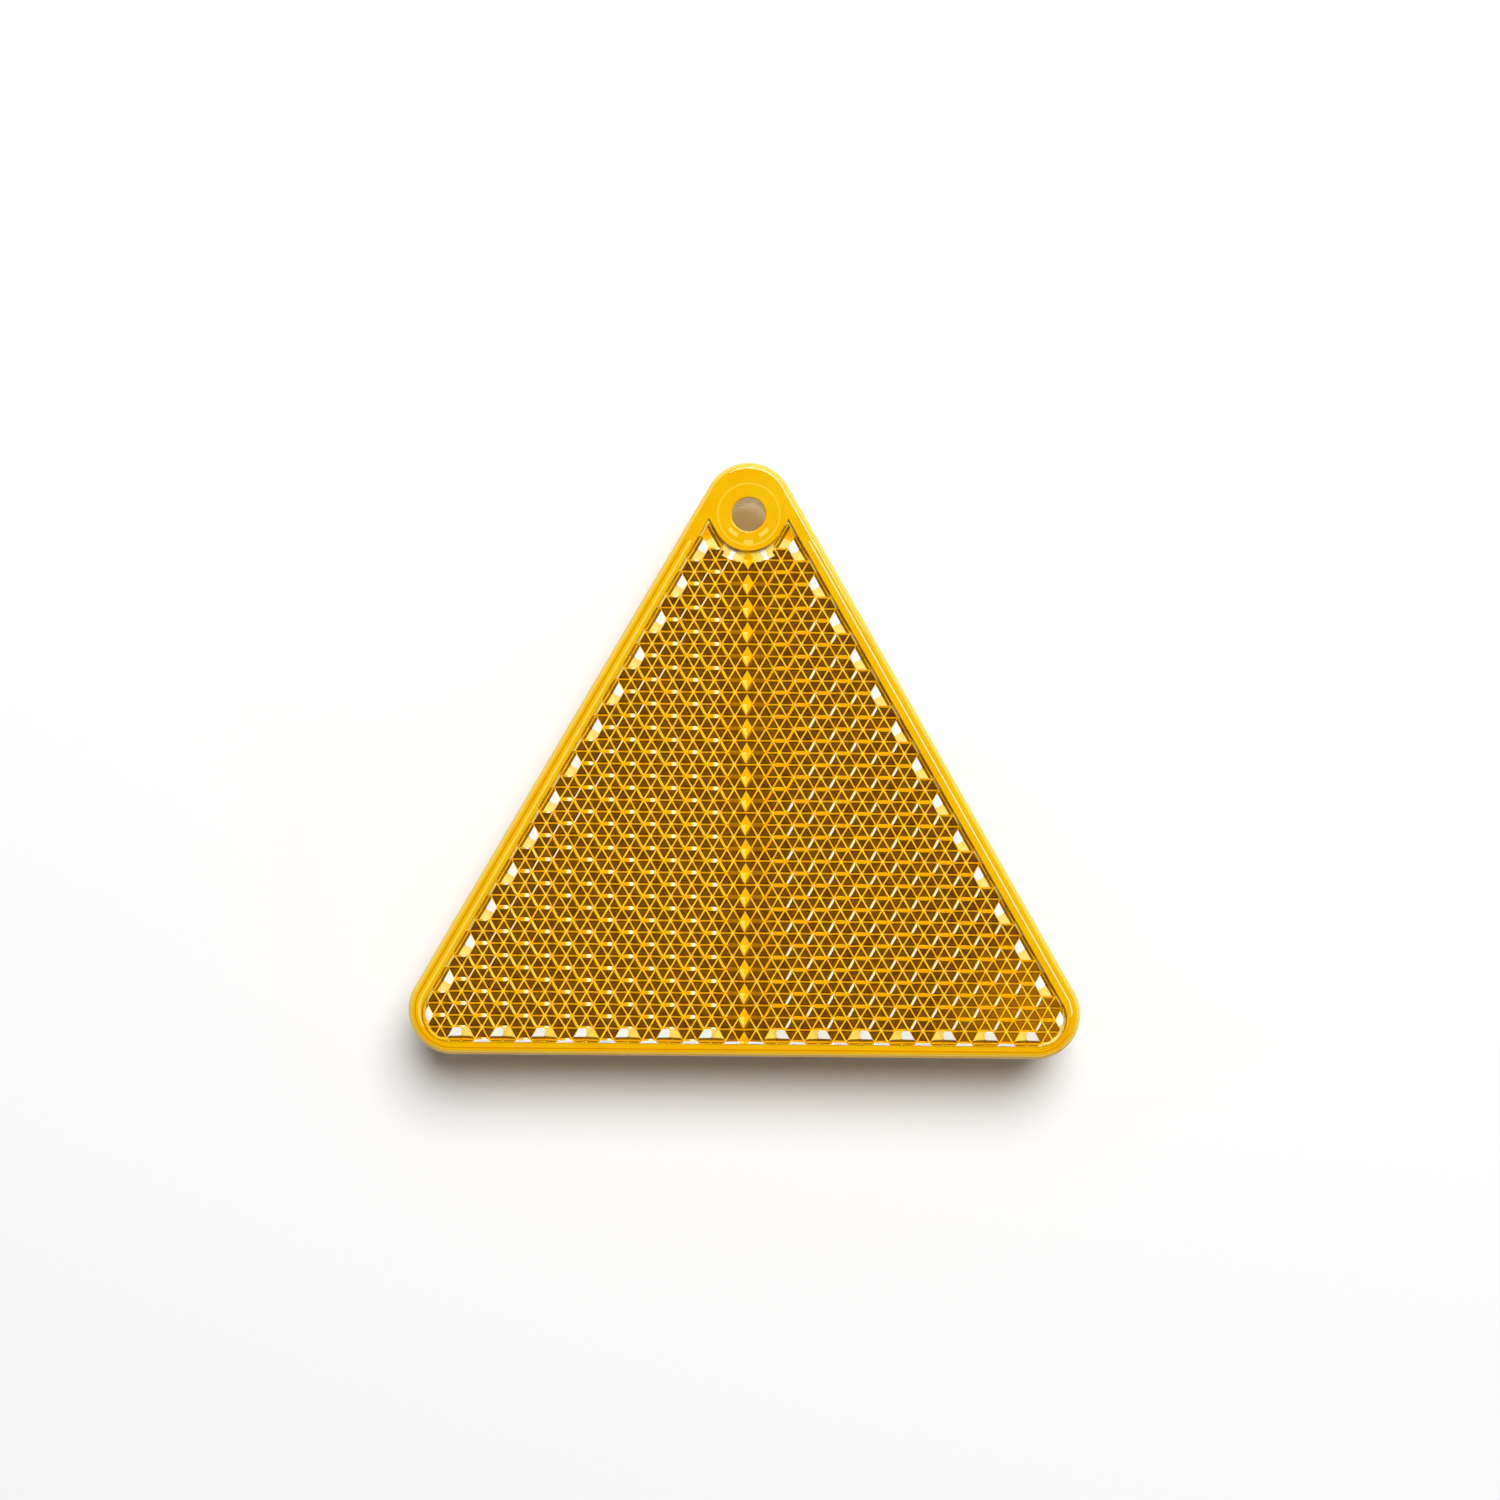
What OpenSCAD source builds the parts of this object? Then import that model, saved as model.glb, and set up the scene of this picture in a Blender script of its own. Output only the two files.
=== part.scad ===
// Hanging safety reflector: a rounded triangle of clear amber plastic in two welded halves.
// Each half is one moulding. A flat face carries a rim round the edge and a boss round
// the hanging hole, which meet the other half at the middle plane, and a field of
// cube-corner prisms whose points look into the sealed space between the halves.
// The part hangs upright: X runs across, Z runs up, and the front face looks along -Y.
// The origin is the centre of the hanging hole, half way through the thickness.

/* [Outline] */
// Width over the two bottom corners
overall_w = 60; // [50:1:90]
// Radius of the three corners, seen from the front
corner_r = 4; // [3.6:0.1:6]
// Rounding of the outer edge of each face
edge_r = 0.6; // [0.2:0.1:0.8]

/* [Hanging hole] */
// Diameter of the hole for the cord or pin
hole_d = 3; // [2:0.1:3.8]
// Distance of the hole below the centre of the top corner's arc
hole_drop = 0.65; // [0:0.05:1]
// Diameter of the welded boss round the hole
boss_d = 5.5; // [4.8:0.1:5.8]
// Bevel at each mouth of the hole
mouth_bevel = 0.15; // [0.05:0.05:0.3]

/* [Walls] */
// Thickness of the flat face
face_t = 0.9; // [0.6:0.1:1.5]
// Width of the rim wall that is welded to the other half
wall_t = 1.05; // [0.9:0.05:1.2]
// Bevel of the rim at the weld line
weld_bevel = 0.12; // [0.05:0.01:0.2]

/* [Prism field] */
// Width of one prism across its flats
prism_pitch = 2.15; // [1.8:0.05:3]
// Smooth border between each sloping edge and the prisms
side_border = 1.4; // [1.3:0.05:1.8]
// Smooth border between the bottom edge and the prisms
bottom_border = 1.1; // [1.1:0.05:1.8]
// Smooth ring between the boss and the prisms
boss_border = 0.45; // [0.25:0.05:0.6]
// How far the field runs past the centres of its last, half-cut prisms
cut_past = 0.25; // [0.1:0.05:0.4]
// Step from the inner side of the face to the deepest valley of the prisms
root_h = 0.1; // [0.05:0.05:0.3]
// Air between the points of the prisms and the middle plane
point_gap = 0.25; // [0.1:0.05:0.6]

/* [Hidden] */
$fn = 96;
corner_facets = 72;
edge_steps = 6;

// A cube corner seen along its diagonal is a regular hexagon.
cube_edge = prism_pitch / sqrt(2);
cell_r = prism_pitch / sqrt(3);
prism_h = cube_edge * sqrt(3) * 2 / 3;

half_t = face_t + root_h + prism_h + point_gap;
sunk = face_t / 3;

// The sharp triangle under the rounded outline, with the hole's centre at zero.
sharp_w = overall_w + 2 * corner_r * (sqrt(3) - 1);
sharp_h = sharp_w * sqrt(3) / 2;
hole_h = sharp_h - 2 * corner_r - hole_drop;
side_run = sharp_w - 2 * corner_r * sqrt(3);
arc_centres = [
    [side_run / 2, corner_r - hole_h],
    [0, hole_drop],
    [-side_run / 2, corner_r - hole_h]
];

// Border lines of the prism field, measured from the hole.
border_line = corner_r + hole_drop / 2 - side_border;
bottom_edge = bottom_border - hole_h;
field_r = corner_r - side_border;
island_r = boss_d / 2 + boss_border;
field_top = border_line - island_r;

// The triangular lattice under the prisms of the right-hand side. Step i runs across,
// and step j runs up and to the left, beside the sloping edge.
row_step = prism_pitch / 2;
first_row = bottom_edge + cut_past - row_step;
last_i = ceil(((border_line - first_row / 2) / cos(30) - row_step) / cell_r);
last_j = ceil((field_top - first_row) / row_step);

// The lattice starts again, mirrored, at the seam down the middle of the field.
function seam_i(j) = floor(j / 2) - 1;
function row_starts() = [for (j = 0, n = 0; j <= last_j; n = n + 2 * (last_i - seam_i(j)) + 1, j = j + 1) n];
starts = row_starts();
function index(side, i, j) = starts[j] + last_i - seam_i(j) + side * (i - seam_i(j));

// Point, ridge end and valley of a cube corner follow each other along every lattice line.
function lattice_point(i, j) = [
    row_step + cell_r * (i - j / 2),
    first_row + j * row_step,
    point_gap + ((i + j + 3) % 3) * prism_h / 2
];
function seam_point(j) =
    let (inner = lattice_point(seam_i(j), j), outer = lattice_point(seam_i(j) + 1, j))
    inner + (outer - inner) * inner[0] / (inner[0] - outer[0]);
function row_points(j) = concat(
    [for (i = [last_i:-1:seam_i(j) + 1]) let (p = lattice_point(i, j)) [-p[0], p[1], p[2]]],
    [seam_point(j)],
    [for (i = [seam_i(j) + 1:last_i]) lattice_point(i, j)]
);
function flip(side, face) = side > 0 ? face : [face[2], face[1], face[0]];

// One closed sheet of prisms, points down, that is a little larger than the field.
module prism_sheet() {
    rows = [for (j = [0:last_j]) row_points(j)];
    surface = [for (row = rows) each row];
    last_n = len(rows[last_j]);
    loop = concat(
        [for (k = [0:len(rows[0]) - 1]) k],
        [for (j = [1:last_j]) index(1, last_i, j)],
        [for (k = [last_n - 2:-1:0]) starts[last_j] + k],
        [for (j = [last_j - 1:-1:1]) index(-1, last_i, j)]
    );
    turns = len(loop);
    base_z = half_t - face_t + sunk;
    base = len(surface);
    base_points = [for (k = loop) [surface[k][0], surface[k][1], base_z]];
    middle = [0, (surface[0][1] + surface[starts[last_j]][1]) / 2, base_z];
    prisms = [for (side = [-1, 1]) for (j = [0:last_j - 1]) each concat(
        [for (i = [seam_i(j):last_i - 1])
            flip(side, [index(side, i, j), index(side, i + 1, j), index(side, i + 1, j + 1)])],
        [for (i = [seam_i(j + 1):last_i - 1])
            flip(side, [index(side, i, j), index(side, i + 1, j + 1), index(side, i, j + 1)])]
    )];
    walls = [for (k = [0:turns - 1]) let (n = (k + 1) % turns) [loop[k], base + k, base + n, loop[n]]];
    back = [for (k = [0:turns - 1]) [base + turns, base + (k + 1) % turns, base + k]];
    polyhedron(concat(surface, base_points, [middle]), concat(prisms, walls, back), convexity = 10);
}

// Outline of the field, which keeps clear of the boss along the lattice.
module field_outline() {
    corner = [(border_line - field_r - (bottom_edge + field_r) / 2) / cos(30), bottom_edge + field_r];
    tangent = island_r * [cos(30), -sin(30)];
    for (side = [0, 1])
        mirror([side, 0])
            difference() {
                union() {
                    polygon([
                        [0, bottom_edge],
                        [corner[0], bottom_edge],
                        corner,
                        corner + field_r * [cos(30), sin(30)],
                        [(border_line - field_top / 2) / cos(30), field_top],
                        [0, field_top]
                    ]);
                    translate(corner)
                        circle(field_r);
                }
                circle(island_r);
                polygon([[0, 0], tangent, tangent + overall_w * [sin(30), cos(30)], [0, overall_w]]);
            }
}

module prism_field() {
    intersection() {
        prism_sheet();
        linear_extrude(half_t)
            field_outline();
    }
}

// Outline at a distance from the arc centres: the outer edge, or one inside it.
module rounded_triangle(r) {
    for (c = arc_centres)
        translate(c)
            circle(r);
    polygon([for (k = [0:2]) for (turn = [-90, 30])
        arc_centres[k] + r * [cos(120 * k + turn), sin(120 * k + turn)]]);
}

// Half of a corner's section, from the centre line of its arc to the rounded edge.
module corner_section() {
    polygon(concat(
        [[0, 0], [corner_r - weld_bevel, 0], [corner_r, weld_bevel]],
        [for (turn = [0:90 / edge_steps:90])
            [corner_r - edge_r, half_t - edge_r] + edge_r * [cos(turn), sin(turn)]],
        [[0, half_t]]
    ));
}

// The outer form: a disc with a rounded edge at each corner, drawn together.
module outer_form() {
    hull()
        for (c = arc_centres)
            translate(c)
                rotate_extrude($fn = corner_facets)
                    corner_section();
}

// One half, lying on the middle plane with its face up.
module lens_half() {
    difference() {
        union() {
            difference() {
                outer_form();
                translate([0, 0, -half_t])
                    linear_extrude(2 * half_t - face_t)
                        rounded_triangle(corner_r - wall_t);
            }
            cylinder(d = boss_d, h = half_t - sunk);
            prism_field();
        }
        cylinder(d = hole_d, h = half_t * 3, center = true);
        translate([0, 0, half_t - mouth_bevel])
            cylinder(d1 = hole_d, d2 = hole_d + 4 * mouth_bevel, h = 2 * mouth_bevel);
    }
}

module front_lens() {
    color("orange")
        rotate([90, 0, 0])
            lens_half();
}

// The same moulding turned to face the other way.
module back_lens() {
    color("darkorange")
        rotate([0, 0, 180])
            rotate([90, 0, 0])
                lens_half();
}

front_lens();
back_lens();
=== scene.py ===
from math import atan2, ceil, cos, degrees, hypot, pi, radians, sin, sqrt

import bpy
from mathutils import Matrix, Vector


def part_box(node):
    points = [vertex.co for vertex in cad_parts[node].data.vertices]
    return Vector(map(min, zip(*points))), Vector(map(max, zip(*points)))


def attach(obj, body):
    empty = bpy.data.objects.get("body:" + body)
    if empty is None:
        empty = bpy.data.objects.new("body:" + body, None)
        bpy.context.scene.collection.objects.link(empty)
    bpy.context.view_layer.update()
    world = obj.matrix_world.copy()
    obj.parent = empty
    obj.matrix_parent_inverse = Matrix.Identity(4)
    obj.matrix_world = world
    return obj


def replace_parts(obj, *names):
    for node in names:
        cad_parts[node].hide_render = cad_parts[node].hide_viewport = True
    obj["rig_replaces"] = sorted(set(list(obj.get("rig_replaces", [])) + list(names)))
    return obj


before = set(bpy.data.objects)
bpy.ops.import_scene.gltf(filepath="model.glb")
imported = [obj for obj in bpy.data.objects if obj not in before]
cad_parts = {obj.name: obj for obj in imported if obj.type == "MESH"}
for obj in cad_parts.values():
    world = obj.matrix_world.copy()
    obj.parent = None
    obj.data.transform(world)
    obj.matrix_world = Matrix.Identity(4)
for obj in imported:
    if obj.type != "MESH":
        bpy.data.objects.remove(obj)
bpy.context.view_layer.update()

# Lens moulding: half of the reflector, injection moulded in clear amber plastic.
# A flat glossy face, a rim wall round the edge, a boss round the hanging hole, and a raised
# field that holds the prisms. Two of them are welded rim to rim and boss to boss.
mm = 0.001
# The sloping edges face 30 degrees above the level.
slope_turn = pi / 6
face_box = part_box("front_lens")
half_t = -face_box[0].y
overall_w = face_box[1].x - face_box[0].x
corner_r = 4 * mm
hole_drop = face_box[1].z - corner_r
low_z = face_box[0].z
arc_x = overall_w / 2 - corner_r
arc_centres = [(arc_x, low_z + corner_r), (0, hole_drop), (-arc_x, low_z + corner_r)]
edge_r = 0.6 * mm
weld_bevel = 0.12 * mm
weld_gap = 0.01 * mm
face_t = 0.9 * mm
wall_t = 1.05 * mm
hole_r = 1.5 * mm
boss_r = 2.75 * mm
mouth_bevel = 0.15 * mm
side_border = 1.4 * mm
bottom_border = 1.1 * mm
boss_border = 0.45 * mm
border_line = corner_r + hole_drop / 2 - side_border
bottom_edge = low_z + bottom_border
field_r = corner_r - side_border
island_r = boss_r + boss_border
field_top = border_line - island_r
field_back = 0.1 * mm
# Length of the lines beside the boss, where the field ends in two ears.
ear_reach = 5 * mm
# Sharp corners are drawn as discs so small that they look like points.
tip_r = 0.01 * mm
point_r = 0.001 * mm
round_steps = 96
edge_steps = 8
weld_steps = 2
mouth_steps = 3
# Faces that turn less than this against each other are one flat face.
flat_turn = radians(0.5)
same_depth = 1e-7
# An edge of the face within this share of the hole's radius belongs to the hole's mouth.
mouth_share = 1.05


def side_distance(x, z):
    """How far a point lies towards the nearer sloping edge, measured from the hole."""
    return abs(x) * cos(slope_turn) + z * sin(slope_turn)


def ear_distance(x, z):
    """The same towards the lines that cut the field beside the boss."""
    return abs(x) * cos(slope_turn) - z * sin(slope_turn)


field_corner = (
    (border_line - field_r - (bottom_edge + field_r) / 2) / cos(slope_turn),
    bottom_edge + field_r,
)
field_tip = ((border_line - field_top / 2) / cos(slope_turn), field_top)


def only(piece, mode="OBJECT"):
    """Leaves one piece selected and active, in the mode asked for."""
    if bpy.context.mode != "OBJECT":
        bpy.ops.object.mode_set(mode="OBJECT")
    bpy.ops.object.select_all(action="DESELECT")
    piece.select_set(True)
    bpy.context.view_layer.objects.active = piece
    if mode != "OBJECT":
        bpy.ops.object.mode_set(mode=mode)


def drawn_together(name, rounds, near, far):
    """A block between two depths whose outline is drawn tight round some discs: x, z, radius."""
    bpy.ops.object.select_all(action="DESELECT")
    for turn, (x, z, r) in enumerate(rounds):
        bpy.ops.mesh.primitive_cylinder_add(
            vertices=round_steps,
            radius=r,
            depth=far - near,
            location=(x, (near + far) / 2, z),
            rotation=(pi / 2, 0, 0),
        )
        if turn == 0:
            block = bpy.context.object
            block.name = name
            bpy.ops.object.transform_apply(location=True, rotation=True, scale=True)
            bpy.ops.object.mode_set(mode="EDIT")
    bpy.ops.mesh.select_all(action="SELECT")
    bpy.ops.mesh.convex_hull()
    bpy.ops.mesh.dissolve_limited(angle_limit=flat_turn)
    bpy.ops.mesh.select_all(action="SELECT")
    bpy.ops.mesh.normals_make_consistent(inside=False)
    bpy.ops.object.mode_set(mode="OBJECT")
    return block


def choose_faces(piece, wanted):
    """Selects the faces whose centre and normal pass a test. The piece is in object mode."""
    mesh = piece.data
    for part in (mesh.vertices, mesh.edges):
        part.foreach_set("select", [False] * len(part))
    for face in mesh.polygons:
        face.select = wanted(face.center, face.normal)


def choose_edges(piece, wanted):
    """Selects the edges whose two end points pass a test. The piece is in object mode."""
    mesh = piece.data
    for part in (mesh.vertices, mesh.polygons):
        part.foreach_set("select", [False] * len(part))
    for edge in mesh.edges:
        edge.select = wanted(*(mesh.vertices[v].co for v in edge.vertices))


def round_over(piece, wanted, width, steps):
    """Bevels the chosen edges into a round with some steps."""
    only(piece)
    choose_edges(piece, wanted)
    bpy.ops.object.mode_set(mode="EDIT")
    bpy.ops.mesh.select_mode(type="EDGE")
    bpy.ops.mesh.bevel(offset=width, offset_type="OFFSET", segments=steps, profile=0.5)
    bpy.ops.object.mode_set(mode="OBJECT")


def combine(piece, other, how):
    """Adds another block to a piece or takes it out of it, and removes the block."""
    only(piece)
    join = piece.modifiers.new(how, "BOOLEAN")
    join.object = other
    join.operation = how
    join.solver = "EXACT"
    bpy.ops.object.modifier_apply(modifier=join.name)
    bpy.data.objects.remove(other)


def at_depth(a, b, y):
    """True for an edge whose two ends both lie at a depth."""
    return abs(a.y - y) < same_depth and abs(b.y - y) < same_depth


front = drawn_together(
    "front_moulding", [(x, z, corner_r) for x, z in arc_centres], -half_t, -weld_gap
)
round_over(front, lambda a, b: at_depth(a, b, -half_t), edge_r, edge_steps)
round_over(front, lambda a, b: at_depth(a, b, -weld_gap), weld_bevel, weld_steps)
combine(
    front,
    drawn_together(
        "cavity",
        [(x, z, corner_r - wall_t) for x, z in arc_centres],
        face_t - half_t,
        half_t,
    ),
    "DIFFERENCE",
)
plinth = drawn_together(
    "plinth",
    [
        (field_corner[0], field_corner[1], field_r),
        (-field_corner[0], field_corner[1], field_r),
        (field_tip[0], field_tip[1], tip_r),
        (-field_tip[0], field_tip[1], tip_r),
    ],
    face_t / 2 - half_t,
    -field_back,
)
ear_end = (
    island_r * cos(slope_turn) + ear_reach * sin(slope_turn),
    -island_r * sin(slope_turn) + ear_reach * cos(slope_turn),
)
island = drawn_together(
    "island",
    [
        (0, 0, island_r),
        (ear_end[0], ear_end[1], point_r),
        (-ear_end[0], ear_end[1], point_r),
    ],
    -2 * half_t,
    half_t,
)
combine(plinth, island, "DIFFERENCE")
combine(front, plinth, "UNION")
boss = drawn_together("boss", [(0, 0, boss_r)], face_t / 2 - half_t, -weld_gap)
combine(front, boss, "UNION")
bore = drawn_together("bore", [(0, 0, hole_r)], -2 * half_t, half_t)
combine(front, bore, "DIFFERENCE")
round_over(
    front,
    lambda a, b: at_depth(a, b, -half_t) and hypot(a.x, a.z) < hole_r * mouth_share,
    mouth_bevel,
    mouth_steps,
)
fine = 0.001 * mm


def cut(piece, wanted, point, normal, snap=fine):
    """Scores the chosen faces along a plane. Corners within snap of it count as on it."""
    only(piece)
    choose_faces(piece, wanted)
    bpy.ops.object.mode_set(mode="EDIT")
    bpy.ops.mesh.select_mode(type="FACE")
    bpy.ops.mesh.bisect(plane_co=point, plane_no=normal, threshold=snap)
    bpy.ops.object.mode_set(mode="OBJECT")


def outward(turn):
    """Direction at an angle above +X, in the plane of the face."""
    return (cos(turn), 0, sin(turn))


# Turns at which the field's outline is cut: from its base round the bottom corner to the slope,
# and from below the boss round to the ear.
arc_turns = [radians(-90 + 15 * k) for k in range(9)]
ear_turns = [radians(-90 + 10 * k) for k in range(7)]


def field_planes(hand, inset):
    """Planes along the field's outline on one side, or along a line some way inside it."""
    planes = []
    for turn in arc_turns:
        way = outward(turn)
        r = field_r - inset
        place = (hand * (field_corner[0] + r * way[0]), 0, field_corner[1] + r * way[2])
        planes.append((place, (hand * way[0], 0, way[2])))
    for turn in ear_turns:
        way = outward(turn)
        r = island_r + inset
        planes.append(((hand * r * way[0], 0, r * way[2]), (hand * way[0], 0, way[2])))
    return planes


def in_field(x, z, inset=0):
    """True for a point of the front view that lies over the prisms."""
    for turn in arc_turns:
        way = outward(turn)
        beyond = (abs(x) - field_corner[0]) * way[0] + (z - field_corner[1]) * way[2]
        if beyond > field_r - inset:
            return False
    return any(
        abs(x) * outward(turn)[0] + z * outward(turn)[2] > island_r + inset for turn in ear_turns
    )


def shader_tree(name):
    """A new material with its node tree emptied, and its principled shader."""
    material = bpy.data.materials.new(name)
    material.use_nodes = True
    tree = material.node_tree
    tree.nodes.clear()
    output = tree.nodes.new("ShaderNodeOutputMaterial")
    shader = tree.nodes.new("ShaderNodeBsdfPrincipled")
    tree.links.new(shader.outputs[0], output.inputs[0])
    return material, tree, shader


def plain(shown):
    """Linear colour from the red, green and blue that it shows as, 0 to 255."""
    parts = [v / 255 for v in shown]
    return tuple(v / 12.92 if v < 0.04045 else ((v + 0.055) / 1.055) ** 2.4 for v in parts) + (1,)


def cloud(tree, size, low, high):
    """Soft blotches of a size in metres, from a low to a high value."""
    place = tree.nodes.new("ShaderNodeTexCoord")
    noise = tree.nodes.new("ShaderNodeTexNoise")
    noise.inputs["Scale"].default_value = 1 / size
    noise.inputs["Detail"].default_value = 3.0
    tree.links.new(place.outputs["Object"], noise.inputs["Vector"])
    spread = tree.nodes.new("ShaderNodeMapRange")
    spread.inputs["From Min"].default_value = 0.3
    spread.inputs["From Max"].default_value = 0.7
    spread.inputs["To Min"].default_value = low
    spread.inputs["To Max"].default_value = high
    tree.links.new(noise.outputs["Fac"], spread.inputs["Value"])
    return spread.outputs["Result"]


def blend(tree, factor, first, second):
    """Mixes two colours, or a colour with the result of an earlier mix."""
    mix = tree.nodes.new("ShaderNodeMix")
    mix.data_type = "RGBA"
    tree.links.new(factor, mix.inputs["Factor"])
    for socket, value in ((mix.inputs[6], first), (mix.inputs[7], second)):
        if isinstance(value, tuple):
            socket.default_value = value
        else:
            tree.links.new(value, socket)
    return mix.outputs[2]


plastic_ior = 1.49


def plastic(name, shown, clearness):
    """Polished plastic whose gloss varies a little."""
    material, tree, shader = shader_tree(name)
    shader.inputs["Base Color"].default_value = plain(shown)
    shader.inputs["IOR"].default_value = plastic_ior
    shader.inputs["Transmission Weight"].default_value = clearness
    tree.links.new(cloud(tree, 6 * mm, 0.04, 0.1), shader.inputs["Roughness"])
    front.data.materials.append(material)
    return tree, shader


tree, shader = plastic("amber_plastic", (255, 190, 0), 0.06)
mottle = blend(tree, cloud(tree, 3 * mm, 0.0, 1.0), plain((255, 186, 0)), plain((255, 200, 2)))
tree.links.new(mottle, shader.inputs["Base Color"])
# The window over the prisms bends no light, so that they show at the brightness they are given.
# Its polish is the coat.
tree, shader = plastic("clear_window", (255, 255, 255), 1.0)
tree.links.remove(shader.inputs["Roughness"].links[0])
shader.inputs["Roughness"].default_value = 0.0
shader.inputs["IOR"].default_value = 1.0
shader.inputs["Coat Weight"].default_value = 1.0
shader.inputs["Coat IOR"].default_value = plastic_ior
shader.inputs["Coat Roughness"].default_value = 0.03
# Painted highlights and shade, where the rim and the boss catch or lose the light.
plastic("rim_glow", (255, 216, 84), 0.0)
plastic("rim_glint", (255, 243, 185), 0.0)
plastic("rim_shade", (226, 146, 0), 0.0)
plastic("ring_glow", (255, 207, 48), 0.0)
plastic("bore_wall", (252, 243, 220), 0.0)
rim_slots = [material.name for material in front.data.materials]


def on_face(c, n):
    """True for a face of the moulding that lies in its flat outer side."""
    return n.y < -0.999 and c.y < -half_t + fine


def edge_room(x, z):
    """How far inside the outline a point of the front view lies."""
    for turn, (cx, cz) in zip((-90, 30, 150), arc_centres):
        if (degrees(atan2(z - cz, x - cx)) - turn) % 360 <= 120:
            return corner_r - hypot(x - cx, z - cz)
    return min(corner_r + hole_drop / 2 - side_distance(x, z), z - low_z)


window_inset = 0.04 * mm
for hand in (1, -1):
    for place, way in field_planes(hand, window_inset):
        cut(front, on_face, place, way)
# Painted streaks of light and shade in the rim, where the plastic bends the light of the weld and
# of the inner wall.
shade_line = (0.6 * mm, 0.72 * mm)
glint_line = (0.78 * mm, 0.88 * mm)
glow_line = (0.95 * mm, 1.15 * mm)
for depth in shade_line + glint_line + glow_line:
    for turn in range(-90, 270, 15):
        way = outward(radians(turn))
        cx, cz = arc_centres[(turn + 90) // 120]
        place = (cx + (corner_r - depth) * way[0], 0, cz + (corner_r - depth) * way[2])
        cut(
            front,
            lambda c, n: on_face(c, n) and edge_room(c.x, c.z) < side_border * 1.5,
            place,
            way,
        )
# Rings round the hole, where a painted pale ring stands for the welded boss seen through the face.
# A square is marked off first, so that their cuts stay short.
boss_x = 3.3 * mm
top_reach = 8 * mm
for place, way in (
    ((boss_x, 0, 0), (1, 0, 0)),
    ((-boss_x, 0, 0), (1, 0, 0)),
    ((0, 0, boss_x), (0, 0, 1)),
    ((0, 0, -boss_x), (0, 0, 1)),
):
    cut(front, lambda c, n: on_face(c, n) and hypot(c.x, c.z) < top_reach, place, way)


def by_boss(c, n):
    """True for a face inside the square round the hole."""
    return on_face(c, n) and max(abs(c.x), abs(c.z)) < boss_x


glint_arc = (1.95 * mm, 2.3 * mm)
boss_line = (2.66 * mm, 2.82 * mm)
# Three painted highlights lie under the hole as pale patches: one in the middle, and one to each
# side. These are where they end, in degrees from straight down.
mid_patch = 9
side_patch = (27, 54)
for r in glint_arc + boss_line:
    for turn in range(0, 360, 15):
        way = outward(radians(turn + 7.5))
        cut(front, by_boss, (r * way[0], 0, r * way[2]), way)
for turn in (-side_patch[1], -side_patch[0], -mid_patch, mid_patch, *side_patch):
    cut(
        front,
        lambda c, n: by_boss(c, n) and glint_arc[0] < hypot(c.x, c.z) < boss_line[0] and c.z < 0,
        (0, 0, 0),
        outward(radians(turn)),
    )


def rim_colour_and_light(c, n):
    """Name of the material of a face of the moulding by its place, painted highlights and shade
    among them.
    """
    x, z = c.x, c.z
    reach = hypot(x, z)
    # The wall of the bore, without the bevel of its mouth.
    if reach < hole_r * 1.02 and abs(n.y) < 0.1:
        return "bore_wall"
    # The rounded outer edge has a painted highlight, apart from its underside.
    if c.y < edge_r - half_t and -0.9 < n.y < -0.05 and reach > boss_r:
        return "rim_glow" if n.z > -0.5 else "amber_plastic"
    if not on_face(c, n):
        return "amber_plastic"
    if in_field(x, z, window_inset):
        return "clear_window"
    from_below = abs(degrees(atan2(z, x)) + 90)
    # Painted highlights under the hole.
    if glint_arc[0] < reach < glint_arc[1] and side_patch[0] < from_below < side_patch[1]:
        return "rim_glow"
    if glint_arc[1] < reach < boss_line[0] and from_below < mid_patch:
        return "rim_glow"
    # The painted pale ring is cut in straight pieces, whose corners lie a little outside its
    # radius.
    if boss_line[0] < reach < boss_line[1] * 1.005:
        return "ring_glow"
    room = edge_room(x, z)
    on_slope = corner_r + hole_drop / 2 - side_distance(x, z) < z - low_z
    right_slope = x > 0 and on_slope
    # Painted lines of shade, a painted glint and a painted pale streak in the rim.
    if glint_line[1] < room < glow_line[0] and x > arc_x and z < arc_centres[0][1]:
        return "rim_shade"
    if shade_line[0] < room < shade_line[1] and not right_slope and z < -boss_r:
        return "rim_shade"
    if glint_line[0] < room < glint_line[1] and right_slope and arc_centres[0][1] < z < -boss_r:
        return "rim_glint"
    if glow_line[0] < room < glow_line[1] and x < 0 and on_slope and z < -boss_r:
        return "rim_glow"
    return "amber_plastic"


for face in front.data.polygons:
    face.material_index = rim_slots.index(rim_colour_and_light(face.center, face.normal))
only(front, "EDIT")
bpy.ops.mesh.select_all(action="SELECT")
bpy.ops.mesh.dissolve_limited(angle_limit=flat_turn, delimit={"MATERIAL"})
bpy.ops.object.mode_set(mode="OBJECT")
bpy.ops.object.shade_smooth_by_angle(angle=radians(35))
even = front.modifiers.new("even", "WEIGHTED_NORMAL")
even.keep_sharp = True
bpy.ops.object.modifier_apply(modifier=even.name)
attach(front, "root")
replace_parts(front, "front_lens")

# Prisms of both lenses: cube corners moulded on the inner side of each face, in two fields
# that mirror each other at the seam. One prism is a hexagon of six facets round its point.
# They throw light back by total reflection, so their light and shade are painted on each facet.
prism_pitch = 2.15 * mm
cell_r = prism_pitch / sqrt(3)
row_step = prism_pitch / 2
column_step = cell_r * 1.5
cut_past = 0.25 * mm
first_row = bottom_edge + cut_past - row_step
# The drawn sheet lies this far under the face, inside the clear block of the moulding. A point
# is two drops deeper than a valley, and a ridge end is one.
sheet_depth = 0.3 * mm
valley_y = sheet_depth - half_t
facet_drop = 0.2 * mm
body_t = 0.1 * mm
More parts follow.
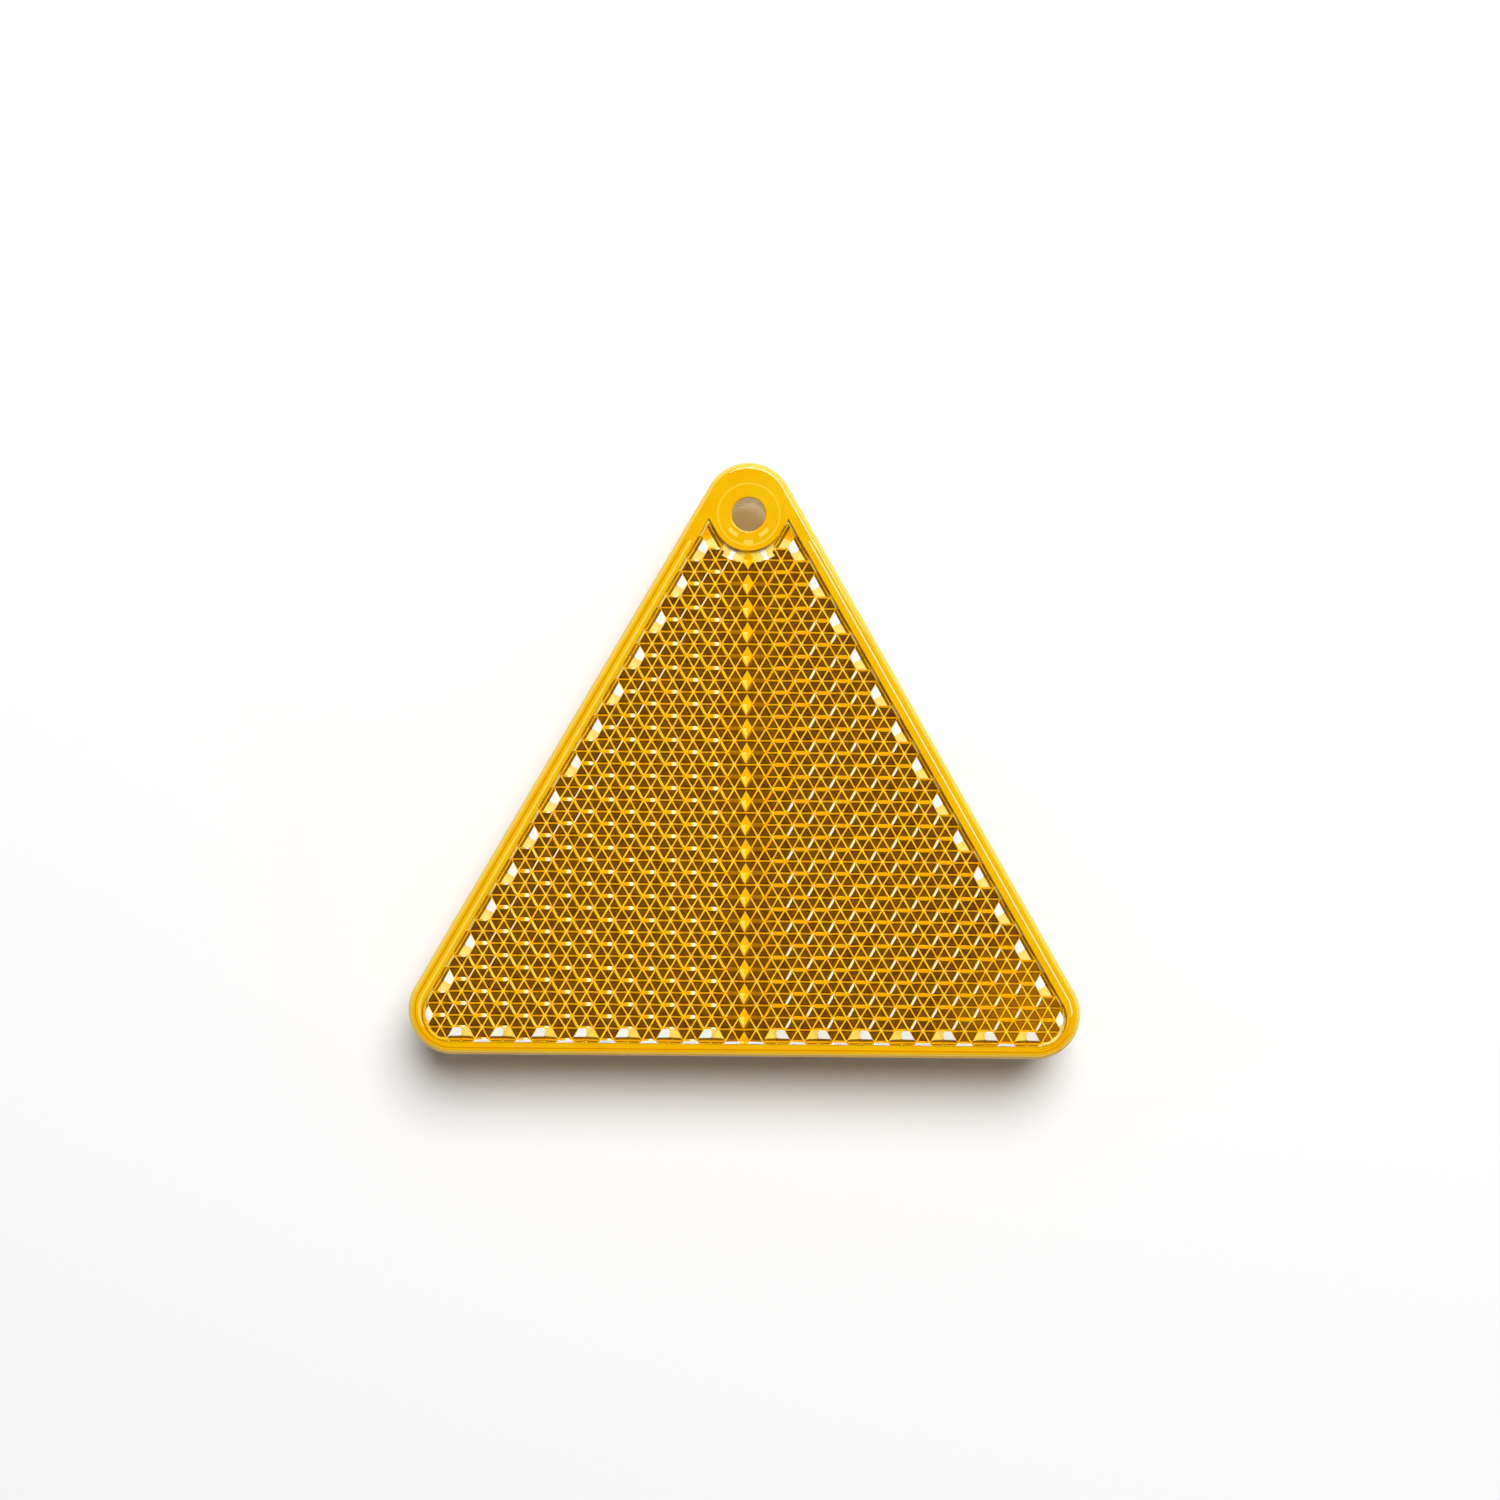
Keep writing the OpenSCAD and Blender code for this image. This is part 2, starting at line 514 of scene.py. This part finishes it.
# Half widths of the painted bright lines: along the spokes, and along the sides of a prism, by
# the angle that a side faces.
line_w = 0.075 * mm
bar_w = 0.14 * mm
slant_w = 0.115 * mm
edge_line_w = 0.11 * mm
side_widths = {
    90: bar_w,
    270: bar_w,
    150: slant_w,
    330: slant_w,
    30: edge_line_w,
    210: edge_line_w,
}
# Painted shade along the border of each facet, and a painted highlight as a pale dot on each
# point.
shade_w = 0.1 * mm
dot_r = 0.11 * mm
# A half-cut prism of the border has a painted bright line through its centre, in a band of
# painted shade that reaches further inward than outward.
band_w = 0.29 * mm
band_line_w = 0.05 * mm
band_edge = 0.15 * mm
# Ends of the painted glints along the level sides, and of painted streaks along the slanted ones.
glint_cuts = (-0.47 * mm, -0.37 * mm, -0.07 * mm, 0.05 * mm)
streak_end = 0.3 * mm
# How far left of the seam the painted glint on each diamond starts and ends.
diamond_glint = (0.1 * mm, 0.3 * mm)
# Cuts through a prism snap this far, so that lines which meet share one corner.
coarse = 0.1 * mm
# Copies of the prism are welded where their corners are this near.
weld_reach = 0.002 * mm
# A painted fan of pale wedges shows under the boss, and a painted pale crescent in each bottom
# corner.
fan_r = 4.3 * mm
fan_turns = (-84, -78, -71, -64, -57)
crescent_w = 0.32 * mm
outline_inset = 0.02 * mm
# Enough prisms to cover the right-hand half of the face.
columns = ceil((overall_w / 2 - row_step) / column_step) + 1
rows = ceil(-first_row / prism_pitch) + 1
# Columns, counted from the seam, and a height at which the painted glints change.
weak_column = 4
outer_column = 10
streak_column = 3
low_part = -25 * mm

# Colours as they show, from 0 to 255. They paint the prisms' light and shade.
prism_light_paints = {
    "facet": (119, 74, 0),
    "facet_edge": (92, 57, 0),
    "line": (248, 180, 4),
    "line_deep": (234, 160, 0),
    "line_pale": (252, 196, 28),
    "bar": (252, 176, 0),
    "bar_dim": (172, 112, 0),
    "bar_pale": (255, 220, 92),
    "glint": (255, 246, 210),
    "half_white": (255, 254, 248),
    "half_pale": (255, 221, 115),
    "diamond": (255, 192, 4),
    "band": (140, 94, 0),
}
prism_light_names = list(prism_light_paints)
# The facets vary between two shades, in blotches of this size.
facet_shades = (0.86, 1.1)
facet_blotch = 0.5 * mm
# They are painted lighter near the right-hand bottom corner, where light pools: fully within the
# first distance, and not at all past the second.
glow_gain = 1.4
glow_place = (26 * mm, -45 * mm)
glow_reach = (2 * mm, 9 * mm)
slope_way = outward(slope_turn)
slope_run = outward(-pi / 3)
streak_way = outward(5 * pi / 6)
streak_run = outward(pi / 3)


def facet_towards(turn):
    """Test for faces of one prism that lie in its facet at an angle above +X."""
    return lambda c, n: abs((degrees(atan2(c.z, c.x)) - turn + 180) % 360 - 180) < 25


bpy.ops.object.select_all(action="DESELECT")
bpy.ops.mesh.primitive_circle_add(
    vertices=6,
    radius=cell_r,
    fill_type="TRIFAN",
    location=(0, valley_y, 0),
    rotation=(pi / 2, pi / 6, 0),
)
cell = bpy.context.object
cell.name = "front_prisms_right"
bpy.ops.object.transform_apply(location=True, rotation=True, scale=True)
for vertex in cell.data.vertices:
    if hypot(vertex.co.x, vertex.co.z) < cell_r / 2:
        vertex.co.y += 2 * facet_drop
    elif round(degrees(atan2(vertex.co.z, vertex.co.x))) % 120 == 0:
        vertex.co.y += facet_drop
for turn, width in side_widths.items():
    way = outward(radians(turn))
    reach = row_step - (width - line_w)
    cut(cell, facet_towards(turn), (reach * way[0], 0, reach * way[2]), way, coarse)
only(cell)
# Each facet gets a painted bright border, and a border of painted shade inside it.
choose_faces(cell, lambda c, n: hypot(c.x, c.z) < 0.8 * row_step)
bpy.ops.object.mode_set(mode="EDIT")
bpy.ops.mesh.select_mode(type="FACE")
bpy.ops.mesh.inset(thickness=line_w, use_individual=True)
bpy.ops.mesh.inset(thickness=shade_w, use_individual=True)
bpy.ops.object.mode_set(mode="OBJECT")
for reach in glint_cuts:
    cut(cell, lambda c, n: abs(c.z) > row_step - bar_w, (reach, 0, 0), (1, 0, 0), coarse)
cut(
    cell,
    lambda c, n: c.x * streak_way[0] + c.z * streak_way[2] > row_step - slant_w,
    (-streak_end * streak_run[0], 0, -streak_end * streak_run[2]),
    streak_run,
    coarse,
)
only(cell)
# The point is cut into a small flat hexagon, which takes the painted highlight of the pale dot.
for vertex in cell.data.vertices:
    vertex.select = hypot(vertex.co.x, vertex.co.z) < cell_r / 100
for face in cell.data.polygons:
    face.select = False
for edge in cell.data.edges:
    edge.select = False
bpy.ops.object.mode_set(mode="EDIT")
bpy.ops.mesh.select_mode(type="VERT")
bpy.ops.mesh.bevel(offset=dot_r, affect="VERTICES", segments=1)
bpy.ops.mesh.select_all(action="SELECT")
bpy.ops.transform.translate(value=(row_step - column_step, 0, first_row + row_step))
bpy.ops.object.mode_set(mode="OBJECT")


def repeat(piece, count, step):
    """Sets copies of a piece in a row, one step apart."""
    only(piece)
    line = piece.modifiers.new("repeat", "ARRAY")
    line.count = count
    line.use_relative_offset = False
    line.use_constant_offset = True
    line.constant_offset_displace = step
    bpy.ops.object.modifier_apply(modifier=line.name)


repeat(cell, 2, (column_step, 0, -row_step))
repeat(cell, rows, (0, 0, prism_pitch))
repeat(cell, ceil(columns / 2), (2 * column_step, 0, 0))


def prism_point(x, z):
    """Centre of the prism that a place in the right-hand field belongs to."""
    best = None
    nearest = round((x - row_step) / column_step)
    for column in (nearest - 1, nearest, nearest + 1):
        cx = row_step + column * column_step
        start = first_row + row_step * (column % 2)
        cz = start + prism_pitch * round((z - start) / prism_pitch)
        if best is None or hypot(x - cx, z - cz) < hypot(x - best[0], z - best[1]):
            best = (cx, cz)
    return best


# The repeated prism is now the right-hand field, which still has to be trimmed.
field = cell
only(field)
choose_faces(field, lambda c, n: side_distance(c.x, c.z) > border_line + prism_pitch)
bpy.ops.object.mode_set(mode="EDIT")
bpy.ops.mesh.delete(type="FACE")
bpy.ops.mesh.select_all(action="SELECT")
bpy.ops.mesh.remove_doubles(threshold=weld_reach)
bpy.ops.object.mode_set(mode="OBJECT")


def slope_room(point):
    """How far inside the field's slope a prism has its centre."""
    return border_line - side_distance(*point)


def base_room(point):
    """How far above the field's base a prism has its centre."""
    return point[1] - bottom_edge


def ear_room(point):
    """How far inside the field's line beside the boss a prism has its centre."""
    return ear_distance(*point) - island_r


ear_way = outward(-slope_turn)
# The last line of prism centres inside the slope, and the last one beside the boss.
line_of_centres = side_distance(row_step, first_row)
line_of_centres += row_step * int((border_line - line_of_centres) / row_step)
ear_centres = ear_distance(row_step, first_row)
ear_centres -= row_step * int((ear_centres - island_r) / row_step)


def halved_by_slope(point):
    """True for a prism that the field's slope cuts in half."""
    return 0 < slope_room(point) < row_step


def halved_by_base(point):
    """True for a prism that the field's base cuts in half."""
    return 0 < base_room(point) < row_step


def halved_by_ear(point):
    """True for a prism that the field's line beside the boss cuts in half."""
    return 0 < ear_room(point) < row_step and point[1] > -island_r


for reach in (-band_line_w, band_line_w, -band_w, band_edge):
    place = ((line_of_centres + reach) * slope_way[0], 0, (line_of_centres + reach) * slope_way[2])
    cut(field, lambda c, n: halved_by_slope(prism_point(c.x, c.z)), place, slope_way, coarse)
    place = (0, 0, bottom_edge + cut_past - reach)
    cut(field, lambda c, n: halved_by_base(prism_point(c.x, c.z)), place, (0, 0, 1), coarse)
    place = ((ear_centres - reach) * ear_way[0], 0, (ear_centres - reach) * ear_way[2])
    cut(field, lambda c, n: halved_by_ear(prism_point(c.x, c.z)), place, ear_way, coarse)
# Each half-cut prism is parted once more through its centre, because its two quarters differ.
prism_points = sorted(
    {
        prism_point(face.center.x, face.center.z)
        for face in field.data.polygons
        if in_field(face.center.x, face.center.z)
    }
)
for point in prism_points:
    place = (point[0], 0, point[1])

    def here(c, n, point=point):
        return prism_point(c.x, c.z) == point

    if halved_by_slope(point):
        cut(field, here, place, slope_run, coarse)
    elif halved_by_base(point):
        cut(field, here, place, (1, 0, 0), coarse)
    elif halved_by_ear(point):
        cut(field, here, place, outward(pi / 3), coarse)
for turn in fan_turns:
    cut(
        field,
        lambda c, n: c.z < 0 and hypot(c.x, c.z) < fan_r,
        (0, 0, 0),
        outward(radians(turn + 90)),
        coarse,
    )
    way = outward(radians(turn))
    cut(
        field,
        lambda c, n: c.z < 0 and abs(hypot(c.x, c.z) - fan_r) < row_step,
        (fan_r * way[0], 0, fan_r * way[2]),
        way,
        coarse,
    )


def past_corner(x, z):
    """How far a point lies beyond the centre of the field's bottom corner, where it is round."""
    turn = degrees(atan2(z - field_corner[1], x - field_corner[0]))
    return hypot(x - field_corner[0], z - field_corner[1]) if -92 < turn < 32 else 0


for turn in arc_turns:
    way = outward(turn)
    reach = field_r - crescent_w
    cut(
        field,
        lambda c, n: past_corner(c.x, c.z) > field_r / 2,
        (field_corner[0] + reach * way[0], 0, field_corner[1] + reach * way[2]),
        way,
        coarse,
    )
for place, way in field_planes(1, outline_inset):
    cut(field, lambda c, n: True, place, way)
cut(field, lambda c, n: True, (0, 0, 0), (1, 0, 0))
only(field)
choose_faces(field, lambda c, n: c.x < 0 or not in_field(c.x, c.z, outline_inset))
bpy.ops.object.mode_set(mode="EDIT")
bpy.ops.mesh.delete(type="FACE")
bpy.ops.object.mode_set(mode="OBJECT")


def painted_light_at(x, z, hand):
    """Which painted light and shade shows at a place, in right-hand terms. hand is -1 for the
    left.
    """
    point = prism_point(x, z)
    u, v = x - point[0], z - point[1]
    column = round((point[0] - row_step) / column_step)
    if column < 0:
        shines = hand < 0 and diamond_glint[0] < x < diamond_glint[1] and v < 0
        return "bar_pale" if shines else "diamond"
    aim = degrees(atan2(z, x))
    # Painted highlights: a fan of pale wedges under the boss, and pale crescents in the corners.
    if hypot(x, z) < fan_r and aim < fan_turns[-1]:
        wedge = sum(aim > turn for turn in fan_turns)
        return ("line_pale", "bar_pale", "half_pale", "half_white", "half_pale")[wedge]
    if past_corner(x, z) > field_r - crescent_w:
        return "half_pale" if hand > 0 and z < field_corner[1] else "line_pale"
    # Painted highlights, pale and white, on the border outside the last prisms.
    if slope_room(point) < 0 or (ear_room(point) < 0 and z > -island_r):
        return "half_pale"
    if base_room(point) < 0:
        return "half_white"
    if slope_room(point) < row_step:
        inward = -(u * slope_way[0] + v * slope_way[2])
        upper = u * slope_run[0] + v * slope_run[2] < 0
        return half_cut_light(inward, "half_white" if upper else "half_pale")
    if base_room(point) < row_step:
        return half_cut_light(v, "half_white" if u > 0 else "bar_pale")
    if ear_room(point) < row_step and point[1] > -island_r:
        inward = u * ear_way[0] + v * ear_way[2]
        upper = u * outward(pi / 3)[0] + v * outward(pi / 3)[2] > 0
        return half_cut_light(inward, "bar" if upper else "half_pale")
    if hypot(u, v) < dot_r:
        return "bar_pale"
    turn = 60 * round((degrees(atan2(v, u)) - 30) / 60) + 30
    way = outward(radians(turn))
    to_side = row_step - (u * way[0] + v * way[2])
    turn = (turn + 360) % 360
    # Painted glints along the level sides, and painted shade on them in the first column.
    if turn in (90, 270) and to_side < bar_w:
        if column == 0:
            return "bar_dim"
        if hand > 0:
            pale = "bar_pale" if column > weak_column else "glint"
            return pale if u < glint_cuts[0] else "bar"
        if glint_cuts[1] < u < glint_cuts[2]:
            return "glint"
        return "bar_pale" if glint_cuts[0] < u < glint_cuts[3] else "bar"
    if turn in (150, 330) and to_side < slant_w:
        if hand < 0:
            return "line_pale" if column < outer_column or turn == 330 else "bar_pale"
        # In the low part of the field the painted streaks start one column nearer the seam.
        if column < streak_column - (point[1] < low_part):
            return "bar_dim" if column == 0 else "bar"
        along = u * streak_run[0] + v * streak_run[2]
        return "glint" if turn == 150 and along > -streak_end else "bar"
    if to_side < side_widths[turn]:
        near_slope = row_step < slope_room(point) < 3 * row_step
        if hand < 0 and turn == 210 and near_slope:
            return "glint"
        return "line_pale" if hand < 0 else "line"
    spoke = 60 * round(degrees(atan2(v, u)) / 60)
    along = outward(radians(spoke))
    off = abs(u * along[2] - v * along[0])
    if off < line_w:
        if spoke % 180 == 0:
            return "line_deep"
        return "line_pale" if spoke in (60, 120, -60) else "line"
    others = min(
        abs(u * sin(radians(turn + k)) - v * cos(radians(turn + k))) for k in (-30, 30)
    )
    if to_side < side_widths[turn] + shade_w or others < line_w + shade_w:
        return "facet_edge"
    return "facet"


def half_cut_light(inward, bright):
    """Painted light and shade of a half-cut prism at a distance inward of its centre line."""
    if inward > band_w:
        return bright
    if inward < -band_edge:
        return "line_pale"
    return "bar" if abs(inward) < band_line_w else "band"


# Each field is laid out for baking in a square of this width, with a margin. Its outer walls
# are folded out, and its far side fills the other corner.
sheet_w = 52 * mm
sheet_margin = (1.5 * mm, 2 * mm)
fold_gap = 0.05 * mm
wall_slope = 0.3


def paint(piece, hand):
    """Gives every face of a prism field its painted light and shade, and lays it out flat for
    baking.
    """
    layers = piece.data.uv_layers
    sheet = layers.get("OFBake") or layers.new(name="OFBake")
    for face in piece.data.polygons:
        seen = face.normal.y < -wall_slope
        name = painted_light_at(face.center.x * hand, face.center.z, hand) if seen else "facet_edge"
        face.material_index = prism_light_names.index(name)
        for loop in face.loop_indices:
            corner = piece.data.vertices[piece.data.loops[loop].vertex_index].co
            u = corner.x * hand + sheet_margin[0]
            v = corner.z + sheet_w - sheet_margin[1]
            if abs(face.normal.y) < wall_slope:
                fold = corner.y - valley_y + fold_gap
                u += fold * face.normal.x * hand
                v += fold * face.normal.z
            if face.normal.y > wall_slope:
                u, v = sheet_w - u, sheet_w - v
            sheet.data[loop].uv = (u / sheet_w, v / sheet_w)


for name, shown in prism_light_paints.items():
    material, tree, shader = shader_tree(name)
    shader.inputs["Base Color"].default_value = plain(shown)
    shader.inputs["Roughness"].default_value = 0.5
    shader.inputs["Specular IOR Level"].default_value = 0.0
    field.data.materials.append(material)
    if name.startswith("facet"):
        darker = plain([facet_shades[0] * part for part in shown])
        lighter = plain([facet_shades[1] * part for part in shown])
        mottle = blend(tree, cloud(tree, facet_blotch, 0.0, 1.0), darker, lighter)
        # Painted light: the facets grow lighter towards the right-hand bottom corner.
        away = tree.nodes.new("ShaderNodeVectorMath")
        away.operation = "DISTANCE"
        place = tree.nodes.new("ShaderNodeTexCoord")
        tree.links.new(place.outputs["Object"], away.inputs[0])
        away.inputs[1].default_value = (glow_place[0], valley_y, glow_place[1])
        near = tree.nodes.new("ShaderNodeMapRange")
        near.inputs["From Min"].default_value = glow_reach[1]
        near.inputs["From Max"].default_value = glow_reach[0]
        tree.links.new(away.outputs["Value"], near.inputs["Value"])
        glow = plain([glow_gain * part for part in shown])
        tree.links.new(blend(tree, near.outputs[0], mottle, glow), shader.inputs["Base Color"])

# The outer edge is drawn down to one depth and closed there, which makes the sheet a solid.
only(field, "EDIT")
bpy.ops.mesh.select_mode(type="EDGE")
bpy.ops.mesh.select_all(action="DESELECT")
bpy.ops.mesh.select_non_manifold()
bpy.ops.mesh.extrude_region_move()
body_y = valley_y + 2 * facet_drop + body_t
bpy.ops.transform.resize(value=(1, 0, 1), center_override=(0, body_y, 0))
bpy.ops.mesh.edge_face_add()
bpy.ops.object.mode_set(mode="OBJECT")


def point_out(piece):
    """Turns all faces outwards, so that the far side of a prism field faces the middle plane."""
    only(piece, "EDIT")
    bpy.ops.mesh.select_all(action="SELECT")
    bpy.ops.mesh.normals_make_consistent(inside=False)
    bpy.ops.object.mode_set(mode="OBJECT")
    largest = max(piece.data.polygons, key=lambda face: face.area)
    if largest.normal.y < 0:
        bpy.ops.object.mode_set(mode="EDIT")
        bpy.ops.mesh.flip_normals()
        bpy.ops.object.mode_set(mode="OBJECT")


point_out(field)
paint(field, 1)
only(field)
bpy.ops.object.duplicate()
left = bpy.context.object
left.name = "front_prisms_left"
bpy.ops.transform.mirror(
    orient_type="GLOBAL", constraint_axis=(True, False, False), center_override=(0, 0, 0)
)
bpy.ops.object.transform_apply(location=True, rotation=True, scale=True)
point_out(left)
paint(left, -1)


def turned_copy(piece):
    """A copy of a piece of the front lens, turned half round the upright axis for the back."""
    only(piece)
    bpy.ops.object.duplicate()
    turned = bpy.context.object
    turned.name = piece.name.replace("front", "back")
    bpy.ops.transform.rotate(value=pi, orient_axis="Z", center_override=(0, 0, 0))
    bpy.ops.object.transform_apply(location=True, rotation=True, scale=True)
    return turned


for piece in (field, left):
    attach(piece, "root")
    copy = turned_copy(piece)
    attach(copy, "root")

# Back lens: the same clear amber moulding as the front one, turned to face the other way.
# It is welded to the front lens at the rim and the boss, face to face at the middle plane.
back = turned_copy(front)
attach(back, "root")
# The copy brings the front's mark along, and gets its own.
if "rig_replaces" in back:
    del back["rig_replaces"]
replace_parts(back, "back_lens")

# Backdrop and floor: two plain surfaces without gloss, which are no part of the object.
# The board stands close behind the reflector and takes its shadow. The floor lies far below.
stage_w = 0.4
board_gap = 3 * mm
floor_drop = 0.3
picture_z = -0.02


def matte(name, level):
    """A grey without gloss, from black at 0 to white at 1."""
    material, tree, shader = shader_tree(name)
    shader.inputs["Base Color"].default_value = (level, level, level, 1)
    shader.inputs["Roughness"].default_value = 0.9
    shader.inputs["Specular IOR Level"].default_value = 0.0
    return material, tree, shader


def of_two(tree, operation, first, second):
    """What a sum or a choice makes of two values in a material."""
    node = tree.nodes.new("ShaderNodeMath")
    node.operation = operation
    tree.links.new(first, node.inputs[0])
    tree.links.new(second, node.inputs[1])
    return node.outputs[0]


def open_where(tree, shader, value):
    """Lets light pass through a surface where a value is 1."""
    clear = tree.nodes.new("ShaderNodeBsdfTransparent")
    mix = tree.nodes.new("ShaderNodeMixShader")
    tree.links.new(value, mix.inputs[0])
    tree.links.new(shader.outputs[0], mix.inputs[1])
    tree.links.new(clear.outputs[0], mix.inputs[2])
    out = next(n for n in tree.nodes if n.type == "OUTPUT_MATERIAL")
    tree.links.new(mix.outputs[0], out.inputs[0])


def stage_surface(name, material, place, turn):
    """A square of the stage at a place."""
    bpy.ops.object.select_all(action="DESELECT")
    bpy.ops.mesh.primitive_plane_add(size=stage_w, location=place, rotation=turn)
    surface = bpy.context.object
    surface.name = name
    bpy.ops.object.transform_apply(location=True, rotation=True, scale=True)
    surface.data.materials.append(material)
    return surface


white, tree, shader = matte("white_board", 1)
sides = tree.nodes.new("ShaderNodeNewGeometry")
path = tree.nodes.new("ShaderNodeLightPath")
# The board is open from behind, and to the light that comes straight to the back lens from the
# room.
bounces = of_two(tree, "ADD", path.outputs["Diffuse Depth"], path.outputs["Is Shadow Ray"])
first_bounce = tree.nodes.new("ShaderNodeMath")
first_bounce.operation = "COMPARE"
tree.links.new(bounces, first_bounce.inputs[0])
first_bounce.inputs[1].default_value = 1
first_bounce.inputs[2].default_value = 0.5
unseen = of_two(tree, "MAXIMUM", sides.outputs["Backfacing"], first_bounce.outputs[0])
open_where(tree, shader, unseen)
board = stage_surface("board", white, (0, half_t + board_gap, picture_z), (pi / 2, 0, 0))

pale, tree, shader = matte("pale_floor", 0.95)
path = tree.nodes.new("ShaderNodeLightPath")
# The floor throws no light up into the shadow on the board.
passing = of_two(tree, "MAXIMUM", path.outputs["Is Diffuse Ray"], path.outputs["Is Shadow Ray"])
open_where(tree, shader, passing)
floor = stage_surface("floor", pale, (0, 0, low_z - floor_drop), (0, 0, 0))

# Light: one round soft lamp in front, above and a little to the right, in a room that is white
# behind the board, dim in front and dark behind the camera, so that the flat face mirrors
# nothing bright.
key = bpy.data.lights.new("key", "AREA")
key.shape = "DISK"
key.size = 0.7
key.energy = 11.6
key_lamp = bpy.data.objects.new("key", key)
bpy.context.scene.collection.objects.link(key_lamp)
key_lamp.location = (0.16, -0.87, 0.47)
aim = Vector((0, 0, picture_z)) - key_lamp.location
key_lamp.rotation_euler = aim.to_track_quat("-Z", "Y").to_euler()

world = bpy.data.worlds.new("room")
world.use_nodes = True
bpy.context.scene.world = world
tree = world.node_tree
tree.nodes.clear()
out = tree.nodes.new("ShaderNodeOutputWorld")
sky = tree.nodes.new("ShaderNodeBackground")
room_way = tree.nodes.new("ShaderNodeTexCoord")
room_parts = tree.nodes.new("ShaderNodeSeparateXYZ")
tree.links.new(room_way.outputs["Generated"], room_parts.inputs[0])
depth = tree.nodes.new("ShaderNodeMapRange")
depth.inputs["From Min"].default_value = -1
depth.inputs["From Max"].default_value = 1
tree.links.new(room_parts.outputs["Y"], depth.inputs["Value"])
room = tree.nodes.new("ShaderNodeValToRGB")
tree.links.new(depth.outputs["Result"], room.inputs[0])
# Brightness of the room by direction: 0 is straight behind the camera, 0.5 is to the side, and
# 1 is straight behind the board.
dark_level = 0.02
side_level = 0.16
white_level = 0.95
# The room is dark this far round from straight behind the camera, and dim from the second angle.
dark_turn = radians(14)
side_turn = radians(32)
levels = (
    (0.0, dark_level),
    ((1 - cos(dark_turn)) / 2, dark_level),
    ((1 - cos(side_turn)) / 2, side_level),
    (0.5, side_level),
    (0.62, white_level),
)
for turn, (reach, level) in enumerate(levels):
    stops = room.color_ramp.elements
    stop = stops[turn] if turn < 2 else stops.new(reach)
    stop.position = reach
    stop.color = (level, level, level, 1)
tree.links.new(room.outputs["Color"], sky.inputs["Strength"])
# Straight from the camera the room is plain white.
seen = tree.nodes.new("ShaderNodeBackground")
seen.inputs["Strength"].default_value = 1.0
sky.inputs["Color"].default_value = (1, 1, 1, 1)
seen.inputs["Color"].default_value = (1, 1, 1, 1)
path = tree.nodes.new("ShaderNodeLightPath")
mix = tree.nodes.new("ShaderNodeMixShader")
tree.links.new(path.outputs["Is Camera Ray"], mix.inputs[0])
tree.links.new(sky.outputs[0], mix.inputs[1])
tree.links.new(seen.outputs[0], mix.inputs[2])
tree.links.new(mix.outputs[0], out.inputs[0])

# Camera: straight on, as in the photograph. The width and middle of the frame are those at the
# depth of the face, and the camera is turned a little because the reflector isn't quite level.
frame_w = 133.6 * mm
frame_middle = (0.3 * mm, -21.0 * mm)
roll = radians(-0.5)
camera_away = 200 * mm
camera = bpy.data.cameras.new("camera")
camera.sensor_width = 36
camera.lens = camera.sensor_width * camera_away / frame_w
view = bpy.data.objects.new("camera", camera)
bpy.context.scene.collection.objects.link(view)
view.location = (frame_middle[0], -half_t - camera_away, frame_middle[1])
view.rotation_euler = (pi / 2, roll, 0)
bpy.context.scene.camera = view
bpy.context.scene.view_settings.view_transform = "Standard"
